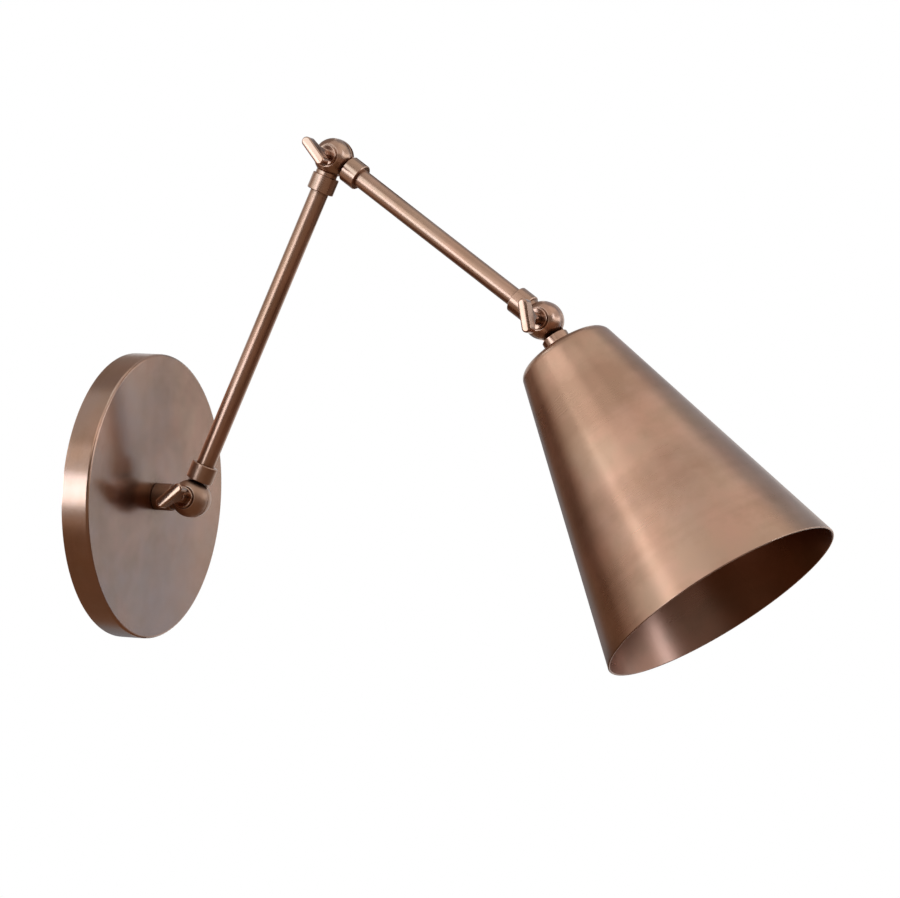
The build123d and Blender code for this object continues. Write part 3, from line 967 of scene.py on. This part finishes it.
# Cards round the whole light: degrees right of the camera, degrees above level, tone
FAR_CARDS = {
    "camera_flag": ((-32, 8), (-8, 22), (0.12, 0.085, 0.065)),
    "camera_right_card": ((8, 58), (-8, 22), (0.28, 0.24, 0.22)),
    "camera_low_card": ((-32, 58), (-40, -8), (0.34, 0.24, 0.18)),
    "camera_high_card": ((-25, 58), (22, 48), (0.20, 0.16, 0.14)),
    "camera_top_card": ((-25, 58), (48, 72), (0.72, 0.72, 0.72)),
    "left_card": ((-97, -32), (-18, 0), (0.46, 0.45, 0.45)),
    "left_middle_card": ((-75, -32), (0, 9), (0.46, 0.45, 0.45)),
    "left_upper_card": ((-75, -32), (9, 27), (0.62, 0.62, 0.62)),
    "left_side_card": ((-97, -75), (0, 27), (0.90, 0.90, 0.90)),
    "left_high_card": ((-110, -25), (27, 72), (0.62, 0.62, 0.63)),
    "left_low_card": ((-110, -32), (-40, -18), (0.44, 0.32, 0.25)),
    "left_warm_card": ((-110, -97), (-18, 27), (0.45, 0.36, 0.32)),
    "back_left_low_card": ((-150, -110), (-40, 0), (0.18, 0.105, 0.065)),
    "back_left_card": ((-128, -110), (0, 22), (0.50, 0.46, 0.44)),
    "back_left_drop": ((-178, -128), (0, 22), (0.75, 0.78, 0.80)),
    "back_left_low_drop": ((-178, -150), (-40, 0), (0.26, 0.27, 0.29)),
    "back_left_high_card": ((-178, -110), (22, 72), (0.32, 0.28, 0.26)),
    "right_bounce_card": ((70, 122), (4, 18), (1.85, 2.0, 2.2)),
    "right_strip_card": ((57, 70), (12, 34), (3.2, 3.9, 4.8)),
    "right_low_card": ((58, 122), (-40, -2), (0.17, 0.11, 0.08)),
    "back_right_cool_card": ((122, 131), (2, 20), (0.37, 0.43, 0.51)),
    "back_right_blue_card": ((120, 131), (-14, 2), (0.50, 0.68, 0.92)),
    "back_right_card": ((131, 134.5), (-14, 20), (0.28, 0.29, 0.32)),
    "back_right_side_card": ((134.5, 152), (-16, 3), (0.9, 0.88, 0.87)),
    "back_right_drop": ((152, 178), (-14, 20), (0.68, 0.70, 0.72)),
    "back_right_low_card": ((122, 140), (-40, -14), (0.50, 0.50, 0.50)),
    "back_right_low_drop": ((140, 178), (-62, -22), (0.12, 0.08, 0.06)),
    "right_middle_card": ((58, 122), (-2, 4), (0.55, 0.55, 0.55)),
    "right_high_card": ((70, 122), (18, 40), (0.75, 0.75, 0.77)),
    "back_right_high_card": ((122, 178), (20, 72), (0.43, 0.46, 0.51)),
    "ceiling_card": ((-180, 180), (72, 89.9), (0.82, 0.82, 0.83)),
}


def set_far_cards(studio):
    """Cards that stand round the studio and give the metal its broad tones."""
    for name, (turns, rises, tone) in FAR_CARDS.items():
        set_card(studio, name, turns, rises, tone, Vector(studio.aim), studio.card_radius)


def set_near_cards(studio):
    """Small cards close to the shade, the elbow's collar and its thumb screw."""
    shade_middle = sum(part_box("shade"), Vector()) / 2
    shade_mouth = shade_pivot + shade_axis * reach_along("shade", shade_pivot, shade_axis)
    collar_end = elbow_pivot + upper_axis * reach_along("elbow_upper_half", elbow_pivot, upper_axis)
    wing_middle = sum(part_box("elbow_thumb_screw"), Vector()) / 2
    mouth_tone = (0.08, 0.035, 0.015)
    # Centre, radius, degrees right of the camera, degrees above level, tone
    near_cards = {
        "shade_strip_card": (shade_middle, 0.5, (-72, -48), (22, 46), (1.40, 1.44, 1.50)),
        "shade_bounce_card": (shade_middle, 0.5, (-48, -22), (22, 64), (1.06, 1.07, 1.09)),
        "shade_top_card": (shade_middle, 0.5, (-22, 60), (40, 85), (0.88, 0.86, 0.86)),
        "shade_mouth_flag": (shade_mouth, 0.16, (-30, 6), (-30, 3), mouth_tone),
        "shade_mouth_low_flag": (shade_mouth, 0.16, (-160, -30), (-75, -18), mouth_tone),
        "collar_flag": (collar_end, 0.06, (128, 170), (-48, -4), (0.08, 0.05, 0.035)),
        "elbow_wing_flag": (wing_middle, 0.1, (130, 162), (8, 36), (0.10, 0.06, 0.04)),
        "elbow_wing_card": (wing_middle, 0.1, (-80, -22), (4, 36), (1.95, 2.5, 2.9)),
    }
    for name, (centre, radius, turns, rises, tone) in near_cards.items():
        set_card(studio, name, turns, rises, tone, centre, radius)


class WALLLIGHT_OT_studio(bpy.types.Operator):
    """Set the camera, the lamps, the floor and the cards"""

    bl_idname = "wall_light.studio"
    bl_label = "Studio"
    bl_options = {"REGISTER", "UNDO"}

    def execute(self, context):
        scene = context.scene
        studio = scene.wall_light_studio
        set_camera(scene, studio)
        set_world(scene, studio)
        set_soft_box(
            scene, studio, "key_soft_box", turn=-50, rise=-1, distance=2.5,
            size=(1.25, 0.88), level=3.4, colour=(0.84, 1.02, 1.26),
        )
        set_soft_box(
            scene, studio, "upper_strip", turn=-66, rise=20, distance=4.0,
            size=(0.56, 1.0), level=2.7, colour=(0.95, 1.0, 1.06),
        )
        set_floor(studio)
        set_floor_flag(studio)
        set_far_cards(studio)
        set_near_cards(studio)
        scene.view_settings.view_transform = "Standard"
        return {"FINISHED"}


class WALLLIGHT_PT_panel(bpy.types.Panel):
    """Lists the steps that dress the light"""

    bl_idname = "WALLLIGHT_PT_panel"
    bl_label = "Wall Light"
    bl_space_type = "VIEW_3D"
    bl_region_type = "UI"
    bl_category = "Wall Light"

    def draw(self, context):
        for operator in operators:
            self.layout.operator(operator.bl_idname)
        for group in property_groups:
            for name in property_groups[group].__annotations__:
                self.layout.prop(getattr(context.scene, group), name)


operators = (
    WALLLIGHT_OT_backplate,
    WALLLIGHT_OT_arms,
    WALLLIGHT_OT_swivels,
    WALLLIGHT_OT_thumb_screws,
    WALLLIGHT_OT_shade,
    WALLLIGHT_OT_fittings,
    WALLLIGHT_OT_socket,
    WALLLIGHT_OT_wires,
    WALLLIGHT_OT_studio,
)
property_groups = {
    "wall_light_finish": WallLightFinish,
    "wall_light_threads": WallLightThreads,
    "wall_light_studio": WallLightStudio,
}


def register():
    for cls in (*property_groups.values(), *operators, WALLLIGHT_PT_panel):
        bpy.utils.register_class(cls)
    for name, group in property_groups.items():
        setattr(bpy.types.Scene, name, PointerProperty(type=group))


def unregister():
    for name in property_groups:
        delattr(bpy.types.Scene, name)
    for cls in (WALLLIGHT_PT_panel, *reversed(operators), *reversed(property_groups.values())):
        bpy.utils.unregister_class(cls)


def main():
    register()
    bpy.ops.wall_light.backplate()
    bpy.ops.wall_light.arms()
    bpy.ops.wall_light.swivels()
    bpy.ops.wall_light.thumb_screws()
    bpy.ops.wall_light.shade()
    bpy.ops.wall_light.fittings()
    bpy.ops.wall_light.socket()
    bpy.ops.wall_light.wires()
    bpy.ops.wall_light.studio()


if __name__ == "__main__":
    main()
